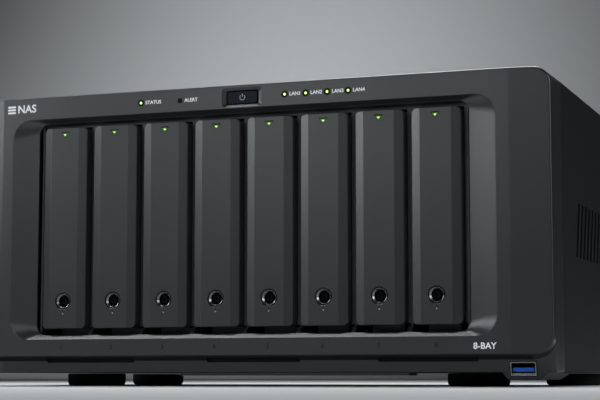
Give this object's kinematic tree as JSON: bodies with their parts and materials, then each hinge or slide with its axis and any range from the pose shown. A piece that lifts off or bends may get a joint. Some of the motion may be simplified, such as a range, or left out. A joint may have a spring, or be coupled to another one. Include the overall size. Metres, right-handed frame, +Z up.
{
  "type": "nas enclosure",
  "caption": "Free-standing desktop network storage box with a row of upright pull-out drive trays, each with a hinged locking lever, twin rear fans and rear ports.",
  "frame": {"origin": "on the floor, under the middle of the case", "axes": "+X to the right seen from the drive bays, +Y from the bays to the rear ports, +Z up"},
  "size_m": [0.3428, 0.243, 0.166],
  "materials": {
    "bezel_plastic": "fine-textured charcoal moulding, satin",
    "cover_metal": "fine-grained black powder coat on steel sheet",
    "bracket_metal": "plated steel",
    "cage_metal": "galvanised steel sheet",
    "circuit_board": "green solder mask",
    "heatsink_metal": "anodised extrusion",
    "button_gloss": "polished blue-black",
    "black_plastic": "matt black moulding",
    "psu_metal": "zinc-coated sheet, solid in the model",
    "port_metal": "nickel-plated shell",
    "foot_rubber": "matt black rubber",
    "fan_plastic": "satin black moulding",
    "carrier_plastic": "satin black moulding",
    "handle_plastic": "fine-textured charcoal moulding, satin",
    "lock_metal": "black-plated die casting",
    "drive_metal": "cast and machined housing"
  },
  "bodies": {
    "chassis": {"front_bezel": "bezel_plastic", "top_cover": "cover_metal", "base_pan": "cover_metal", "rear_panel": "cover_metal", "expansion_slot_cover": "bracket_metal", "drive_cage": "cage_metal", "backplane": "circuit_board", "mainboard": "circuit_board", "cpu_heatsink": "heatsink_metal", "memory_module": "circuit_board", "indicator_board": "circuit_board", "psu_case": "psu_metal", "power_inlet": "black_plastic", "front_usb_port": "port_metal", "rear_usb_ports": "port_metal", "lan_port_block": "port_metal", "esata_ports": "port_metal", "foot_front_left": "foot_rubber", "foot_front_right": "foot_rubber", "foot_rear_left": "foot_rubber", "foot_rear_right": "foot_rubber", "fan_left_frame": "fan_plastic", "fan_right_frame": "fan_plastic"},
    "power_button": {"power_button": "button_gloss"},
    "reset_button": {"reset_button": "black_plastic"},
    "fan_left": {"fan_left_rotor": "fan_plastic"},
    "fan_right": {"fan_right_rotor": "fan_plastic"},
    "psu_fan": {"psu_fan_rotor": "fan_plastic"},
    "tray_1": {"tray_1": "carrier_plastic", "drive_1": "drive_metal"},
    "handle_1": {"handle_1": "handle_plastic"},
    "lock_1": {"lock_1": "lock_metal"},
    "tray_2": {"tray_2": "carrier_plastic", "drive_2": "drive_metal"},
    "handle_2": {"handle_2": "handle_plastic"},
    "lock_2": {"lock_2": "lock_metal"},
    "tray_3": {"tray_3": "carrier_plastic", "drive_3": "drive_metal"},
    "handle_3": {"handle_3": "handle_plastic"},
    "lock_3": {"lock_3": "lock_metal"},
    "tray_4": {"tray_4": "carrier_plastic", "drive_4": "drive_metal"},
    "handle_4": {"handle_4": "handle_plastic"},
    "lock_4": {"lock_4": "lock_metal"},
    "tray_5": {"tray_5": "carrier_plastic", "drive_5": "drive_metal"},
    "handle_5": {"handle_5": "handle_plastic"},
    "lock_5": {"lock_5": "lock_metal"},
    "tray_6": {"tray_6": "carrier_plastic", "drive_6": "drive_metal"},
    "handle_6": {"handle_6": "handle_plastic"},
    "lock_6": {"lock_6": "lock_metal"},
    "tray_7": {"tray_7": "carrier_plastic", "drive_7": "drive_metal"},
    "handle_7": {"handle_7": "handle_plastic"},
    "lock_7": {"lock_7": "lock_metal"},
    "tray_8": {"tray_8": "carrier_plastic", "drive_8": "drive_metal"},
    "handle_8": {"handle_8": "handle_plastic"},
    "lock_8": {"lock_8": "lock_metal"}
  },
  "joints": [
    {"name": "tray_1_slide", "type": "slide", "parent": "chassis", "child": "tray_1", "axis": [0, -1, 0], "range_m": [0, 0.19]},
    {"name": "handle_1_hinge", "type": "hinge", "parent": "tray_1", "child": "handle_1", "pos_m": [-0.1099, -0.1152, 0.1442], "axis": [-1, 0, 0], "range_deg": [0, 70]},
    {"name": "lock_1_turn", "type": "hinge", "parent": "handle_1", "child": "lock_1", "pos_m": [-0.1099, -0.12, 0.048], "axis": [0, 1, 0], "range_deg": [0, 90]},
    {"name": "tray_2_slide", "type": "slide", "parent": "chassis", "child": "tray_2", "axis": [0, -1, 0], "range_m": [0, 0.19]},
    {"name": "handle_2_hinge", "type": "hinge", "parent": "tray_2", "child": "handle_2", "pos_m": [-0.0785, -0.1152, 0.1442], "axis": [-1, 0, 0], "range_deg": [0, 70]},
    {"name": "lock_2_turn", "type": "hinge", "parent": "handle_2", "child": "lock_2", "pos_m": [-0.0785, -0.12, 0.048], "axis": [0, 1, 0], "range_deg": [0, 90]},
    {"name": "tray_3_slide", "type": "slide", "parent": "chassis", "child": "tray_3", "axis": [0, -1, 0], "range_m": [0, 0.19]},
    {"name": "handle_3_hinge", "type": "hinge", "parent": "tray_3", "child": "handle_3", "pos_m": [-0.0471, -0.1152, 0.1442], "axis": [-1, 0, 0], "range_deg": [0, 70]},
    {"name": "lock_3_turn", "type": "hinge", "parent": "handle_3", "child": "lock_3", "pos_m": [-0.0471, -0.12, 0.048], "axis": [0, 1, 0], "range_deg": [0, 90]},
    {"name": "tray_4_slide", "type": "slide", "parent": "chassis", "child": "tray_4", "axis": [0, -1, 0], "range_m": [0, 0.19]},
    {"name": "handle_4_hinge", "type": "hinge", "parent": "tray_4", "child": "handle_4", "pos_m": [-0.0157, -0.1152, 0.1442], "axis": [-1, 0, 0], "range_deg": [0, 70]},
    {"name": "lock_4_turn", "type": "hinge", "parent": "handle_4", "child": "lock_4", "pos_m": [-0.0157, -0.12, 0.048], "axis": [0, 1, 0], "range_deg": [0, 90]},
    {"name": "tray_5_slide", "type": "slide", "parent": "chassis", "child": "tray_5", "axis": [0, -1, 0], "range_m": [0, 0.19]},
    {"name": "handle_5_hinge", "type": "hinge", "parent": "tray_5", "child": "handle_5", "pos_m": [0.0157, -0.1152, 0.1442], "axis": [-1, 0, 0], "range_deg": [0, 70]},
    {"name": "lock_5_turn", "type": "hinge", "parent": "handle_5", "child": "lock_5", "pos_m": [0.0157, -0.12, 0.048], "axis": [0, 1, 0], "range_deg": [0, 90]},
    {"name": "tray_6_slide", "type": "slide", "parent": "chassis", "child": "tray_6", "axis": [0, -1, 0], "range_m": [0, 0.19]},
    {"name": "handle_6_hinge", "type": "hinge", "parent": "tray_6", "child": "handle_6", "pos_m": [0.0471, -0.1152, 0.1442], "axis": [-1, 0, 0], "range_deg": [0, 70]},
    {"name": "lock_6_turn", "type": "hinge", "parent": "handle_6", "child": "lock_6", "pos_m": [0.0471, -0.12, 0.048], "axis": [0, 1, 0], "range_deg": [0, 90]},
    {"name": "tray_7_slide", "type": "slide", "parent": "chassis", "child": "tray_7", "axis": [0, -1, 0], "range_m": [0, 0.19]},
    {"name": "handle_7_hinge", "type": "hinge", "parent": "tray_7", "child": "handle_7", "pos_m": [0.0785, -0.1152, 0.1442], "axis": [-1, 0, 0], "range_deg": [0, 70]},
    {"name": "lock_7_turn", "type": "hinge", "parent": "handle_7", "child": "lock_7", "pos_m": [0.0785, -0.12, 0.048], "axis": [0, 1, 0], "range_deg": [0, 90]},
    {"name": "tray_8_slide", "type": "slide", "parent": "chassis", "child": "tray_8", "axis": [0, -1, 0], "range_m": [0, 0.19]},
    {"name": "handle_8_hinge", "type": "hinge", "parent": "tray_8", "child": "handle_8", "pos_m": [0.1099, -0.1152, 0.1442], "axis": [-1, 0, 0], "range_deg": [0, 70]},
    {"name": "lock_8_turn", "type": "hinge", "parent": "handle_8", "child": "lock_8", "pos_m": [0.1099, -0.12, 0.048], "axis": [0, 1, 0], "range_deg": [0, 90]},
    {"name": "power_button_press", "type": "slide", "parent": "chassis", "child": "power_button", "axis": [0, 1, 0], "range_m": [0, 0.0012], "stiffness_N_per_m": 400},
    {"name": "reset_button_press", "type": "slide", "parent": "chassis", "child": "reset_button", "axis": [0, -1, 0], "range_m": [0, 0.0008], "stiffness_N_per_m": 400},
    {"name": "fan_left_spin", "type": "hinge", "parent": "chassis", "child": "fan_left", "pos_m": [-0.0625, 0.1, 0.1025], "axis": [0, 1, 0], "continuous": true},
    {"name": "fan_right_spin", "type": "hinge", "parent": "chassis", "child": "fan_right", "pos_m": [0.0625, 0.1, 0.1025], "axis": [0, 1, 0], "continuous": true},
    {"name": "psu_fan_spin", "type": "hinge", "parent": "chassis", "child": "psu_fan", "pos_m": [-0.147, 0.11, 0.118], "axis": [0, 1, 0], "continuous": true}
  ]
}
